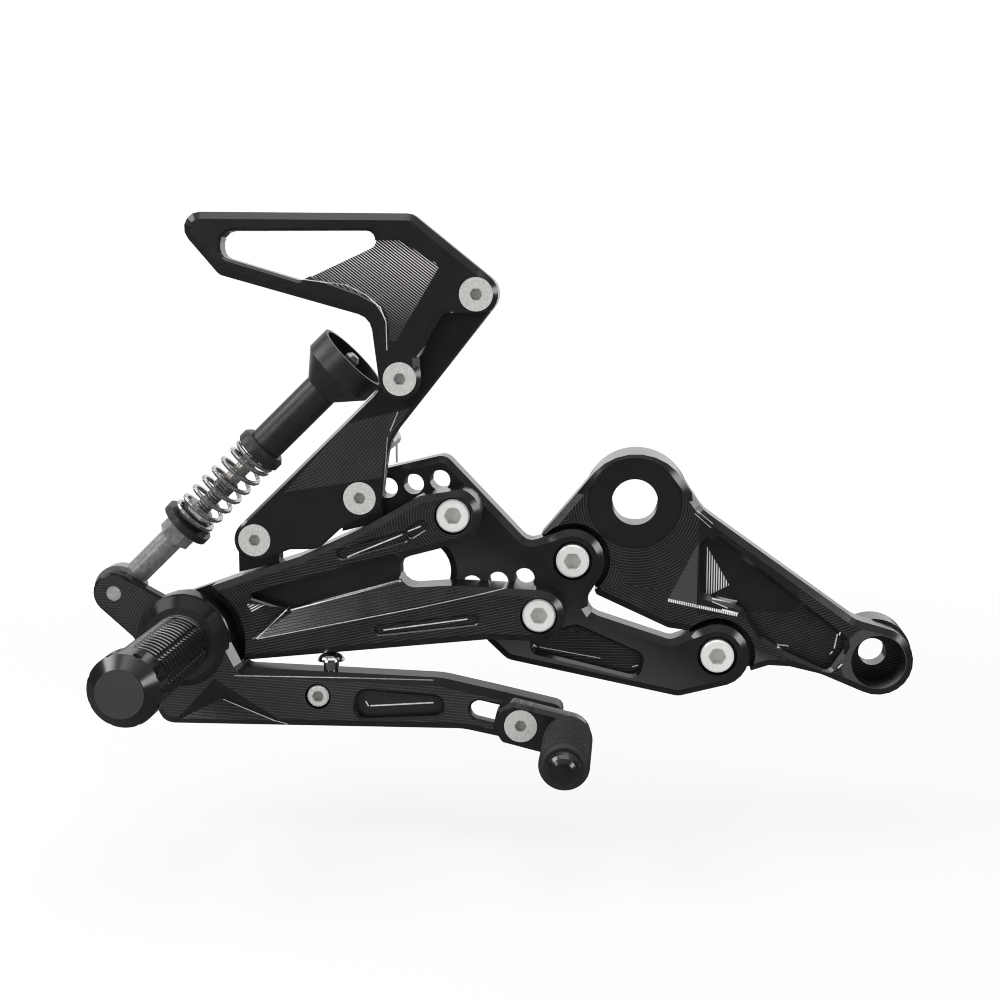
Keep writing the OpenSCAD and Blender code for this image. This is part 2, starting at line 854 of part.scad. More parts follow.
module brake_lever() {
    color([0.07, 0.07, 0.08])
    difference() {
        union() {
            plate(lever_outline, lever_back, lever_front, [3, 2.4]);
            plate(ear_outline, lever_back, rod_ear_front, fine_bevel);
            bar(peg_at, hub_flare_r - 0.6, lever_back - 1, lever_front + 1);
            cone(peg_at, lever_front + 1, hub_flare_r - 0.6, hub_front, hub_r);
        }
        bar(peg_at, pivot_r + run_gap + bush_wall, lever_back + over, hub_front - over);
        bar(rod_eye_at, 3.1, lever_back + over, rod_ear_front - over);
        pocket(lever_pocket, lever_front, 4, 1);
        stack(pill(slot_start, slot_start + toe_slot_len * slot_dir, toe_slot_w / 2),
            [[lever_back + over, 0], [lever_front + 0.8, 0], [lever_front - over, -1.8]]);
        stack(pill(slot_start, slot_start + (toe_slot_len + 3) * slot_dir, 6.2),
            [[lever_back + over, 0], [web_back, 0]]);
        bar(lock_at, 2.6, lever_back + over, lever_front - over);
        bar(lock_at, 5.1, lever_front + 5, lever_front - over);
        stop_hole();
        pit(
            [peg_at + [-4.1, -32.2], peg_at + [41.4, -32.4], peg_at + [12.6, -14.3]],
            peg_at + [13.8, -23.6], lever_front, 4);
    }
}

module stop_hole() {
    translate([stop_at.x, stop_y, stop_at.y - 11.6])
        cylinder(r = 3.1, h = 20);
}

module lever_bush() {
    color([0.62, 0.5, 0.28])
    difference() {
        bar(peg_at, pivot_r + run_gap + bush_wall - 0.01, lever_back, hub_front);
        bar(peg_at, pivot_r + run_gap, lever_back + over, hub_front - over);
    }
}

module lock_screw() {
    cap_screw(lock_at, lever_front + 5, lever_t - 5, 4.25, 2.5, 4);
}

module stop_screw() {
    color([0.75, 0.74, 0.72])
    translate([stop_at.x, stop_y, stop_at.y - 3.1])
        difference() {
            union() {
                translate([0, 0, -8])
                    cylinder(r = 3, h = 8.5);
                rotate_extrude()
                    polygon(concat([[0, 0], [5.2, 0]],
                        [for (t = [5:14:89]) [5.2 * cos(t), 3.2 * sin(t)]], [[0, 3.2]]));
            }
            translate([0, 0, 1.4])
                cylinder(r = 4 / sqrt(3), h = 4, $fn = 6);
        }
}

// Rod end and its screw

module rod_end_screw() {
    seat = rod_y + ball_w / 2;
    color([0.7, 0.7, 0.68])
    difference() {
        union() {
            bar(rod_eye_at, 3, seat + 0.5, rod_ear_front + 0.4);
            bar(rod_eye_at, 5, seat, seat + 4);
        }
        hex_bar(rod_eye_at, 5, seat + 4 + over, seat + 1.8);
    }
}

module rod_end_ball() {
    color([0.8, 0.8, 0.8])
    translate([rod_eye_at.x, rod_y, rod_eye_at.y])
        rotate([90, 0, 0])
            difference() {
                intersection() {
                    sphere(ball_r);
                    cylinder(r = ball_r, h = ball_w, center = true);
                }
                cylinder(r = 3.05, h = 20, center = true);
            }
}

module rod_end_race() {
    color([0.55, 0.42, 0.25])
    translate([rod_eye_at.x, rod_y, rod_eye_at.y])
        rotate([90, 0, 0])
            difference() {
                cylinder(r = race_r - 0.01, h = eye_t - 0.4, center = true);
                sphere(ball_r + run_gap);
            }
}

module rod_end() {
    color([0.5, 0.5, 0.5])
    difference() {
        union() {
            translate([rod_eye_at.x, rod_y, rod_eye_at.y])
                rotate([90, 0, 0])
                    cylinder(r = eye_r, h = eye_t, center = true);
            on_rod(eye_r - 2.6)
                cylinder(r1 = 4.2, r2 = 4.9, h = 3);
            on_rod(eye_r)
                cylinder(r = 4.9, h = seat_s - eye_r - 6);
            on_rod(seat_s - 7)
                cylinder(r = 12 / sqrt(3), h = 7, $fn = 6);
        }
        translate([rod_eye_at.x, rod_y, rod_eye_at.y])
            rotate([90, 0, 0])
                cylinder(r = race_r, h = 20, center = true);
        on_rod(16)
            cylinder(r = rod_r + screw_play, h = 40);
    }
}

module spring_seat() {
    color([0.05, 0.05, 0.05])
    on_rod(seat_s)
        ring(10.5, rod_r + screw_play, seat_t);
}

module step_bush() {
    color([0.05, 0.05, 0.05])
    on_rod(bush_s)
        ring(6.4, rod_r + screw_play, 4);
}

module jam_nut() {
    color([0.7, 0.7, 0.68])
    on_rod(nut_s)
        difference() {
            cylinder(r = 10 / sqrt(3), h = 3, $fn = 6);
            translate([0, 0, -over])
                cylinder(r = rod_r + screw_play, h = 3 + 2 * over);
        }
}

module ring(outer, inner, h) {
    difference() {
        cylinder(r = outer, h = h);
        translate([0, 0, -over])
            cylinder(r = inner, h = h + 2 * over);
    }
}

module pushrod() {
    color([0.68, 0.67, 0.65]) {
        on_rod(17)
            cylinder(r = rod_r, h = rod_len - 18.5);
        on_rod(rod_len - 1.5)
            cylinder(r1 = rod_r, r2 = rod_r - 1.2, h = 1.5);
        on_rod(hex_s)
            cylinder(r = 7 / sqrt(3), h = 5.6, $fn = 6);
    }
}

// Return spring: a round wire swept along a helix, with a flat end coil at each end
module return_spring() {
    sides = 8;
    per_turn = 20;
    total = spring_turns + 2;
    n = total * per_turn;
    lead = 2 * wire_r + 0.15;
    rise = (spring_len - 2 * wire_r - 0.2 - 2 * lead) / spring_turns;
    mean_r = spring_r - wire_r;
    function height(k) =
        let (t = k / per_turn)
        wire_r + 0.1 + lead * min(t, 1) + rise * max(0, min(t - 1, spring_turns))
            + lead * max(0, t - 1 - spring_turns);
    points = [for (k = [0:n]) for (j = [0:sides - 1])
        let (a = 360 * k / per_turn, b = 360 * j / sides)
        let (r = mean_r + wire_r * cos(b))
        [r * cos(a), r * sin(a), height(k) + wire_r * sin(b)]];
    faces = concat(
        [[for (j = [0:sides - 1]) j]],
        [[for (j = [sides - 1:-1:0]) n * sides + j]],
        [for (k = [0:n - 1]) for (j = [0:sides - 1])
            [k * sides + j, (k + 1) * sides + j,
                (k + 1) * sides + (j + 1) % sides, k * sides + (j + 1) % sides]]);
    color([0.75, 0.74, 0.72])
    on_rod(bush_s)
        polyhedron(points, faces);
}

// Black sleeve: collar on the spring, tube, cone and open cup

module sleeve() {
    cup_h = 8.5;
    cone_h = 9.5;
    collar_h = 5;
    tube_top = sleeve_len - cup_h - cone_h;
    color([0.05, 0.05, 0.05])
    on_rod(sleeve_s)
        rotate_extrude()
            polygon([
                [rod_r + 0.08, 0],
                [9.1, 0],
                [9.7, 0.6],
                [9.7, collar_h - 1.5],
                [8.4, collar_h],
                [tube_r, collar_h],
                [tube_r, tube_top],
                [cup_r, sleeve_len - cup_h],
                [cup_r, sleeve_len],
                [cup_r - cup_wall, sleeve_len],
                [cup_r - cup_wall, sleeve_len - cup_h],
                [tube_r - 2, tube_top + 1],
                [tube_r - 2, 14],
                [rod_r + 0.08, 12]
            ]);
}

// Toe piece

module toe_screw() {
    flat_screw(toe_screw_at, link_front, toe_link_t + toe_web_t + 5);
}

module toe_nut() {
    color([0.7, 0.7, 0.68])
    difference() {
        hex_bar(toe_screw_at, 10, web_back + 4.6, web_back + 0.02);
        bar(toe_screw_at, 3.1, web_back + 6, web_back - over);
    }
}

module toe_link() {
    along = unit(toe_peg_at - toe_screw_at);
    side = left_of(along);
    function beside(a, b, r) = let (p = toe_screw_at + a * along + b * side) [p.x, p.y, r];
    path = rounded(concat(
        [beside(-5.4, 8.2, 2), beside(-10.2, 3.4, 2), beside(-10.2, -3.4, 2), beside(-5.4, -8.2, 2)],
        around(toe_peg_at, 8.4, 264 + link_tilt, 456 + link_tilt)));
    color([0.07, 0.07, 0.08])
    difference() {
        plate(path, lever_front - 0.05, link_front, [1.6, 1.2]);
        flat_screw_hole(toe_screw_at, link_front, toe_link_t);
        bar(toe_peg_at, 3.1, lever_front + over, link_front - over);
    }
}

module toe_spindle() {
    tip = link_front - 1 - toe_rubber_len;
    color([0.06, 0.06, 0.07])
    translate([toe_peg_at.x, 0, toe_peg_at.y])
        rotate([90, 0, 0])
            rotate_extrude()
                polygon(concat(
                    [[0, -lever_front + 0.3], [3, -lever_front + 0.3], [3, -link_front],
                        [7.5, -link_front], [7.5, -link_front + 1], [5, -link_front + 1],
                        [5, -tip], [6.6, -tip], [6.6, -tip + 1.4]],
                    [for (t = [10:16:74]) [6.6 * cos(t), -tip + 1.4 + 5 * sin(t)]],
                    [[0, -tip + 6.4]]));
}

module toe_rubber() {
    base = link_front - 1;
    pitch = (toe_rubber_len - 2) / toe_rings;
    color([0.09, 0.09, 0.09])
    translate([toe_peg_at.x, base, toe_peg_at.y])
        rotate([90, 0, 0])
            rotate_extrude()
                polygon(concat(
                    [[5.02, 0], [toe_rubber_r - 0.5, 0]],
                    [for (k = [0:toe_rings - 1]) each [
                        [toe_rubber_r, 0.6 + k * pitch],
                        [toe_rubber_r, 0.6 + (k + 0.6) * pitch],
                        [toe_rubber_r - 0.8, 0.8 + (k + 0.65) * pitch],
                        [toe_rubber_r - 0.8, 0.6 + (k + 0.95) * pitch]
                    ]],
                    [[toe_rubber_r - 1, toe_rubber_len - 1], [toe_rubber_r - 2, toe_rubber_len],
                        [5.02, toe_rubber_len]]));
}

main_bracket();
adjuster_plate();
peg_bracket();
heel_bracket();
heel_guard();
plate_screw(upper_at, peg_bracket_front + 8.6, adj_back);  // cap_screw_upper
plate_screw(lower_at, peg_bracket_front + 8.6, adj_back);  // cap_screw_lower
plate_screw(m1_at, adj_front + 7, adj_back + 12);  // cap_screw_rear
plate_screw(m2_at, adj_front + 7, adj_back + 12);  // cap_screw_front
flat_screw(guard_a_at, guard_front, heel_guard_t + heel_bracket_t);  // flat_screw_guard_top
flat_screw(guard_b_at, guard_front, heel_guard_t + heel_bracket_t);  // flat_screw_guard_low
flat_screw(heel_c_at, heel_front, heel_bracket_t + ear_t);  // flat_screw_heel_front
flat_screw(heel_d_at, heel_front, heel_bracket_t + ear_t);  // flat_screw_heel_rear
footpeg_body();
footpeg_cap();
footpeg_bolt();
footpeg_washer();
pivot_sleeve();
spring_post();
post_wires();
brake_lever();
lever_bush();
lock_screw();
stop_screw();
rod_end_screw();
rod_end_ball();
toe_screw();
toe_nut();
toe_link();
toe_spindle();
toe_rubber();
rod_end();
rod_end_race();
spring_seat();
step_bush();
jam_nut();
pushrod();
return_spring();
sleeve();
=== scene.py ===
"""Brake-side rear set of a motorbike: materials, light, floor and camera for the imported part."""
import json
import math

import bpy
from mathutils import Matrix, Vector


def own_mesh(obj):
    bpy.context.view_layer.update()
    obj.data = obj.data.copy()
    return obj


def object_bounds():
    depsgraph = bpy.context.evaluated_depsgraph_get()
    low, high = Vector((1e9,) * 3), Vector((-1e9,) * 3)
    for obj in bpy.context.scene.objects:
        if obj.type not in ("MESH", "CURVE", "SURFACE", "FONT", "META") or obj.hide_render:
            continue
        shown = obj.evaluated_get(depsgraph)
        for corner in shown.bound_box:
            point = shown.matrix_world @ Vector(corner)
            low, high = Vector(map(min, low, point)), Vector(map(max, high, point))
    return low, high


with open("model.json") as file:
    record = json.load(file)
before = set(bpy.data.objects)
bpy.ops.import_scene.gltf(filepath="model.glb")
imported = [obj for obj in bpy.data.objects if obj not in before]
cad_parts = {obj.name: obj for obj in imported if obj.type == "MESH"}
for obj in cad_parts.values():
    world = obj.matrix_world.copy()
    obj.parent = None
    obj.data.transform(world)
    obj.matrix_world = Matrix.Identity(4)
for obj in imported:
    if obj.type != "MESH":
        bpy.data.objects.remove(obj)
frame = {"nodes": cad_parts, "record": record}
cad_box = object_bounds()
scene = bpy.context.scene

# Camera: the photograph's place and lens, in metres, degrees and millimetres of film
CAMERA_AT = (-0.000166, -0.635, 0.09082)
CAMERA_YAW = 4.98
CAMERA_PITCH = 8.53
LENS = 56.16
SENSOR = 36.0


def make_camera():
    data = bpy.data.cameras.new("camera")
    data.lens = LENS
    data.sensor_width = SENSOR
    data.clip_start = 0.02
    camera = bpy.data.objects.new("camera", data)
    camera.location = CAMERA_AT
    camera.rotation_euler = (math.radians(90 - CAMERA_PITCH), 0, math.radians(CAMERA_YAW))
    scene.collection.objects.link(camera)
    scene.camera = camera


# Places on the part in its XZ plane, in mm, as the CAD has them
BORE_AXIS = (0, 0)
LUG = (95.5, -62)
SCREW_REAR = (-24, -23.5)
SCREW_FRONT = (33, -60.5)
UPPER = (-69.5, -4)
LOWER = (-36.3, -42.5)
HEEL_REAR = (-147, -14.5)
HEEL_FRONT = (-105.5, 2.5)
GUARD_TOP = (-59.5, 80.5)
GUARD_LOW = (-88.3, 49)
HUB = (-176, -55)
EYE = (-205, -37.3)
LOCK = (-122.4, -75.5)
TOE_PEG = (-24.2, -87.45)
TOE_SCREW = (-42.4, -83.08)

# The pushrod's slope in degrees, its thread from and to along it from the eye and the thread's pitch, in mm
ROD_ANGLE = 44.2
THREAD = (40.0, 64.0)
THREAD_PITCH = 1.2

# Directions on the part
FRONT = (0, -1, 0)
BACK = (0, 1, 0)
UP = (0, 0, 1)

# One millimetre in metres, and millimetres in a metre
MM = 0.001
PER_METRE = 1000.0

WHITE = (1, 1, 1, 1)
BLACK = (0.007, 0.007, 0.0075, 1)
BLACK_LIGHT = (0.075, 0.075, 0.078, 1)
# Colour of the painted highlights on the black anodising
HIGHLIGHT_SILVER = (0.95, 0.95, 0.95, 1)
# Painted shade for the grooves of the pushrod's thread
THREAD_SHADE = (0.03, 0.03, 0.03, 1)

# Pitch and depth in mm of the milling lines on front faces and of the passes across back faces
LINE_PITCH = 1.1
LINE_DEPTH = 0.035
PASS_PITCH = 2.4
PASS_DEPTH = 0.02
PASS_ANGLE = 32

# A Mix node's two inputs and its output, for each kind of data
MIX_SOCKETS = {"RGBA": (6, 7, 2), "VECTOR": (4, 5, 1)}


class Graph:
    """Short calls that build one node tree; every method but node() and plug() returns a socket."""

    def __init__(self, owner):
        owner.use_nodes = True
        self.nodes = owner.node_tree.nodes
        self.links = owner.node_tree.links

    def plug(self, value, socket):
        if isinstance(value, bpy.types.NodeSocket):
            self.links.new(value, socket)
        else:
            socket.default_value = value

    def node(self, kind, inputs=None, **settings):
        """A new node; inputs maps a socket's name or number to a value or to another node's socket."""
        node = self.nodes.new("ShaderNode" + kind)
        for name, value in settings.items():
            setattr(node, name, value)
        for key, value in (inputs or {}).items():
            self.plug(value, node.inputs[key])
        return node

    def math(self, operation, *values):
        return self.node("Math", dict(enumerate(values)), operation=operation).outputs[0]

    def product(self, *values):
        result = values[0]
        for value in values[1:]:
            result = self.math("MULTIPLY", result, value)
        return result

    def least(self, *fields):
        result = fields[0]
        for field in fields[1:]:
            result = self.math("MINIMUM", result, field)
        return result

    def most(self, *fields):
        result = fields[0]
        for field in fields[1:]:
            result = self.math("MAXIMUM", result, field)
        return result

    def vector(self, operation, *values):
        node = self.node("VectorMath", dict(enumerate(values)), operation=operation)
        return node.outputs["Value" if operation in ("DOT_PRODUCT", "LENGTH") else "Vector"]

    def scaled(self, vector, factor):
        return self.node("VectorMath", {0: vector, "Scale": factor}, operation="SCALE").outputs[0]

    def ramp(self, value, start, end, low=0.0, high=1.0, curve="LINEAR"):
        """Goes from low to high while the value goes from start to end."""
        inputs = {"Value": value, "From Min": start, "From Max": end, "To Min": low, "To Max": high}
        return self.node("MapRange", inputs, interpolation_type=curve).outputs[0]

    def mix(self, kind, mask, off, on):
        first, second, result = MIX_SOCKETS[kind]
        return self.node("Mix", {0: mask, first: off, second: on}, data_type=kind).outputs[result]

    def mix_shader(self, mask, off, on):
        return self.node("MixShader", {0: mask, 1: off, 2: on}).outputs[0]


class Material(Graph):
    """A material's node tree, with distance fields and masks in the part's own millimetres."""

    def __init__(self, name):
        self.material = bpy.data.materials.new(name)
        super().__init__(self.material)
        self.shader = self.nodes["Principled BSDF"]
        self.point = self.scaled(self.node("TexCoord").outputs["Object"], PER_METRE)
        self.x, self.y, self.z = self.node("SeparateXYZ", {0: self.point}).outputs

    def line(self, at, angle):
        """Signed distance in mm from a line through a place, across its direction in the XZ plane."""
        nx, nz = -math.sin(math.radians(angle)), math.cos(math.radians(angle))
        across = self.math("MULTIPLY_ADD", self.x, nx, -(at[0] * nx + at[1] * nz))
        return self.math("MULTIPLY_ADD", self.z, nz, across)

    def circle(self, at, radius=0.0):
        """Distance in mm from a circle in the XZ plane."""
        dx = self.math("SUBTRACT", self.x, at[0])
        dz = self.math("SUBTRACT", self.z, at[1])
        square = self.math("MULTIPLY_ADD", dz, dz, self.math("MULTIPLY", dx, dx))
        return self.math("SUBTRACT", self.math("SQRT", square), radius)

    def above(self, field, value):
        """A field that is negative where another is above a value."""
        return self.math("SUBTRACT", value, field)

    def below(self, field, value):
        """A field that is negative where another is below a value."""
        return self.math("SUBTRACT", field, value)

    def flip(self, field):
        return self.math("MULTIPLY", field, -1.0)

    def inside(self, field, soft=0.15):
        """1 where a distance field is negative, 0 outside, with a soft edge in mm."""
        return self.ramp(field, soft, -soft)

    def stripes(self, field, pitch):
        """Waves from 0 to 1 along a distance field."""
        wave = self.math("SINE", self.math("MULTIPLY", field, 2 * math.pi / pitch))
        return self.math("MULTIPLY_ADD", wave, 0.5, 0.5)

    def noise(self, scale, detail=3.0):
        """Noise from 0 to 1, its scale counted per mm."""
        return self.node("TexNoise", {"Vector": self.point, "Scale": scale, "Detail": detail}).outputs["Fac"]

    def tint(self, mask, off, on):
        return self.mix("RGBA", mask, off, on)

    def strokes(self, rows):
        """Painted highlights along edges: straight bars in the XZ plane, each (x, z, x, z, width, strength)."""
        total = 0.0
        for ax, az, bx, bz, width, strength in rows:
            angle = math.degrees(math.atan2(bz - az, bx - ax))
            along = self.line((ax, az), angle - 90)
            across = self.math("ABSOLUTE", self.line((ax, az), angle))
            length = math.hypot(bx - ax, bz - az)
            bar = self.most(self.below(across, width / 2), self.below(along, length), self.flip(along))
            total = self.math("MAXIMUM", self.product(self.inside(bar, 0.12), strength), total)
        broken = self.math("MULTIPLY_ADD", self.noise(0.7, 2), 1.4, 0.3)
        return self.product(total, broken)

    def normal(self):
        return self.node("NewGeometry").outputs["Normal"]

    def facing(self, axis):
        """How far the surface faces along an axis of the part, from -1 to 1."""
        return self.vector("DOT_PRODUCT", self.normal(), axis)

    def round_normal(self, rounds):
        """The mesh's normal, made perfectly round about axes along Y: (place, radius) for each turned region."""
        normal = self.normal()
        lean = self.vector("DOT_PRODUCT", normal, BACK)
        flat = self.math("SUBTRACT", 1.0, self.product(lean, lean))
        side = self.math("SQRT", self.math("MAXIMUM", flat, 0.0))
        steep = self.math("GREATER_THAN", side, 0.25)
        for at, radius in rounds:
            arm = self.vector("MULTIPLY", self.vector("SUBTRACT", self.point, (at[0], 0, at[1])), (1, 0, 1))
            turn = self.node(
                "VectorTransform", {0: arm}, vector_type="VECTOR", convert_from="OBJECT", convert_to="WORLD")
            arm = self.vector("NORMALIZE", turn.outputs[0])
            sign = self.math("SIGN", self.vector("DOT_PRODUCT", arm, normal))
            axial = self.node("CombineXYZ", {"Y": lean}).outputs[0]
            fair = self.vector("ADD", self.scaled(arm, self.product(sign, side)), axial)
            # Only where the mesh's normal points along the arm, so flats beside the round keep theirs
            match = self.math("GREATER_THAN", self.vector("DOT_PRODUCT", fair, normal), 0.965)
            mask = self.product(steep, match, self.inside(self.circle(at, radius), 0.05))
            normal = self.mix("VECTOR", mask, normal, fair)
        return normal

    def bump(self, height, below=None):
        """The normal over a height in mm, on top of another normal if one is given."""
        inputs = {"Height": height, "Strength": 1.0, "Distance": MM}
        if below is not None:
            inputs["Normal"] = below
        return self.node("Bump", inputs).outputs[0]

    def finish(self, **inputs):
        for name, value in inputs.items():
            self.plug(value, self.shader.inputs[name.replace("_", " ")])
        return self.material


def anodised(name, lines=None, detail=None, painted_sheen=None, strokes=(), rounds=(), top_shade=0.0):
    """Black anodised aluminium, with milling passes across its back.

    lines(tree) is a distance field that the milling lines of the front face follow.
    detail(tree) returns a height in mm, a tone and a painted highlight for the front, and a mask of places without
    lines.
    The sheen function gives painted highlights on all sides, the glint strokes are painted highlights along edges,
    and rounds go to round_normal.
    The top shade is what the upward faces lose of their specular level: painted shade for tops that parts above
    shade.
    """
    tree = Material(name)
    haze = tree.noise(0.09, 4)
    height = tree.product(tree.noise(6.0, 2), 0.0015)
    tone = tree.product(haze, 0.12)
    painted_highlight = painted_sheen(tree) if painted_sheen else 0.0
    smooth = 0.0
    on_front = tree.math("GREATER_THAN", tree.facing(FRONT), 0.9)
    if detail:
        extra_height, extra_tone, painted_highlight, smooth = detail(tree)
        height = tree.math("MULTIPLY_ADD", extra_height, on_front, height)
        tone = tree.math("MULTIPLY_ADD", extra_tone, on_front, tone)
        painted_highlight = tree.product(painted_highlight, on_front)
    if lines:
        cuts = tree.product(tree.stripes(lines(tree), LINE_PITCH), on_front, tree.math("SUBTRACT", 1.0, smooth))
        height = tree.math("MULTIPLY_ADD", cuts, LINE_DEPTH, height)
        # The lines are real grooves in the bump; their lighter tone is a painted sheen on the crests between them.
        ridge_sheen = tree.math("POWER", cuts, 3.0)
        tone = tree.math("MULTIPLY_ADD", ridge_sheen, tree.math("MULTIPLY_ADD", haze, 0.45, 0.2), tone)
    on_back = tree.math("GREATER_THAN", tree.facing(BACK), 0.9)
    passes = tree.product(tree.stripes(tree.line(BORE_AXIS, PASS_ANGLE), PASS_PITCH), on_back)
    tone = tree.math("MULTIPLY_ADD", passes, 0.16, tone)
    height = tree.math("MULTIPLY_ADD", passes, PASS_DEPTH, height)
    if strokes:
        not_behind = tree.math("GREATER_THAN", tree.facing(FRONT), -0.3)
        painted_highlight = tree.math("MAXIMUM", painted_highlight, tree.product(tree.strokes(strokes), not_behind))
    level = 0.5
    # Painted shade: upward faces lose specular level
    if top_shade:
        top = tree.math("GREATER_THAN", tree.facing(UP), 0.5)
        level = tree.math("MULTIPLY_ADD", top, -top_shade, level)
    # The painted highlights turn the colour silver where their mask is high
    return tree.finish(
        Specular_IOR_Level=level,
        Base_Color=tree.tint(painted_highlight, tree.tint(tone, BLACK, BLACK_LIGHT), HIGHLIGHT_SILVER),
        Roughness=tree.math("MULTIPLY_ADD", haze, 0.12, 0.14),
        Normal=tree.bump(height, tree.round_normal(rounds)),
        IOR=1.7,
    )


def shaded(colour, factor):
    return tuple(c * factor for c in colour[:3]) + (1,)


def brushed(name, colour, roughness, metallic=1.0, sockets=(), socket_shade=0.45, mottle=0.5, thread=None):
    """Bright metal with fine grain.

    sockets are (place, radius) of screws' sockets, darkened with painted shade; mottle is the tone of the darkest
    clouds.
    thread is a place, an angle, a start and an end along it, and a pitch.
    """
    tree = Material(name)
    grain = tree.noise(1.2, 5)
    base = tree.tint(tree.noise(0.6, 4), shaded(colour, mottle), colour)
    if sockets:
        # Painted shade darkens the sockets
        hollow = tree.least(*[tree.circle(at, radius) for at, radius in sockets])
        base = tree.tint(tree.product(tree.inside(hollow, 0.1), socket_shade), base, shaded(colour, 0.3))
    height = tree.product(grain, 0.03)
    if thread:
        at, angle, start, end, pitch = thread
        along = tree.line(at, angle - 90)
        cut = tree.inside(tree.most(tree.below(along, end), tree.above(along, start)), 0.1)
        turns = tree.product(tree.stripes(along, pitch), cut)
        # Painted shade in the thread's grooves
        base = tree.tint(tree.product(turns, 0.85), base, THREAD_SHADE)
        height = tree.math("MULTIPLY_ADD", turns, -0.25, height)
    return tree.finish(
        Base_Color=base,
        Metallic=metallic,
        Roughness=tree.math("MULTIPLY_ADD", grain, 0.18, roughness - 0.09),
        Normal=tree.bump(height),
    )


def moulded(name, colour, roughness):
    """Matt black plastic or rubber with a fine grain."""
    tree = Material(name)
    grain = tree.noise(2.5, 4)
    return tree.finish(
        Base_Color=tree.tint(tree.noise(0.2, 3), colour, shaded(colour, 2.2)),
        Roughness=tree.math("MULTIPLY_ADD", grain, 0.2, roughness - 0.1),
        Normal=tree.bump(tree.product(grain, 0.04)),
    )


def main_lines(t):
    """Arcs round the bore's pad and the lug, and lines along the slot and the sunk seats."""
    return t.least(
        t.circle(BORE_AXIS, 17.5),
        t.math("ADD", t.circle(SCREW_REAR, 15), 8.0),
        t.math("ADD", t.line((-14.6, -37.3), -24.4), 6.0),
        t.math("ADD", t.line((13.6, -50.1), 18.6), 6.0),
        t.circle(LUG, 13.5))


def main_detail(t):
    """The smooth facet beside the arm's pocket, painted highlights on the notches below it and on the pocket's
    stepped end, and a lighter tone on the facet, the foot and the ring round the lug.
    """
    corner = (13.4, -38.8)
    left = t.line(corner, 63.6)
    low = t.line(corner, -11.3)
    facet = t.inside(t.most(left, t.flip(low), t.below(t.x, 24.9)), 0.2)
    fall = t.product(left, 0.12, facet)
    edge = t.most(t.math("ABSOLUTE", low), t.above(t.x, 14.0), t.below(t.x, 40.0))
    notch_highlights = t.product(t.inside(t.below(edge, 0.6), 0.15), t.math("POWER", t.stripes(t.x, 0.85), 0.6))
    end = t.most(t.line((28.1, -17.6), -59.6), t.above(t.x, 28.4), t.flip(t.line((30.5, -37.3), 27.9)))
    step_highlights = t.product(t.inside(end, 0.2), t.math("POWER", t.stripes(t.x, 0.95), 2.0))
    pad = t.inside(t.circle(BORE_AXIS, 18.5), 0.3)
    arm = t.inside(t.most(t.above(t.x, 25.2), t.below(t.x, 64.0), t.above(t.z, -44.0)), 0.3)
    front = t.math("LESS_THAN", t.y, -31.5)
    foot = t.product(t.inside(t.most(t.line((45, -57.5), -25.0), t.above(t.x, 42.0)), 2.0), front)
    ring = t.product(t.inside(t.circle(LUG, 14.5), 0.3), front)
    plain = t.most(foot, ring)
    tone = t.math("ADD", t.product(facet, 0.7), t.product(plain, 0.7))
    return fall, tone, t.math("ADD", notch_highlights, step_highlights), t.most(facet, pad, arm, plain)


def plate_lines(t):
    return t.least(t.line((-39, -55), 0), t.flip(t.line((2, -61), -24)))


def plate_detail(t):
    """Milling lines only on the floor of the plate's pocket; the face gets a painted sheen, lighter towards its low
    front end.
    """
    face = t.math("LESS_THAN", t.y, -33.5)
    low = t.inside(t.line((-20, -52), -30), 14.0)
    return 0.0, t.product(low, face, 0.75), 0.0, face


def peg_lines(t):
    """Arcs round the hub and the two screws, and lines along the edges of the arms."""
    return t.least(
        t.circle(HUB, 21),
        t.line(HUB, 13),
        t.circle(UPPER, 7),
        t.circle(LOWER, 7),
        t.math("ADD", t.line(LOWER, 6), 12.0))


def peg_detail(t):
    """Painted highlights on the hatch at the pocket's rear corner; the pocket's floor is smooth."""
    rear = (-150.5, -39.8)
    across = t.line((-148.7, -43.0), 28.0)
    hatch = t.inside(t.most(t.line(rear, -2.4), t.line(rear, 119.0), t.flip(across)), 0.2)
    painted_highlight = t.product(hatch, t.math("POWER", t.stripes(across, 1.0), 2.0))
    return 0.0, 0.0, painted_highlight, t.math("GREATER_THAN", t.y, -46.0)


def heel_lines(t):
    return t.least(t.line(HEEL_FRONT, 48), t.math("ADD", t.line(HEEL_REAR, 20), 2.0))


def heel_detail(t):
    """Lines only in the bracket's middle panel."""
    panel = t.most(
        t.flip(t.line((-133.7, 4.6), 9.3)),
        t.line((-139.7, -0.6), 47.0),
        t.line((-107.9, 31.9), 14.3))
    shown = t.inside(panel, 0.3)
    return 0.0, t.product(shown, 0.15), 0.0, t.math("SUBTRACT", 1.0, shown)


def guard_detail(t):
    """Ribs across the pocket's falling floor, with painted highlights on their crests: brightest at the top, fading
    towards the low end.
    """
    crest = t.line((-83.4, 72.4), 59.1)
    floor = t.product(t.inside(t.flip(crest), 0.2), t.math("GREATER_THAN", t.y, -56.95))
    ribs = t.stripes(t.line((-87.2, 100.1), -37), 0.88)
    fade = t.math("MULTIPLY_ADD", t.math("POWER", t.ramp(t.z, 68, 96), 1.3), 1.1, 0.02)
    return t.product(ribs, 0.2, floor), 0.05, t.product(t.math("POWER", ribs, 5.0), fade, floor), 1.0


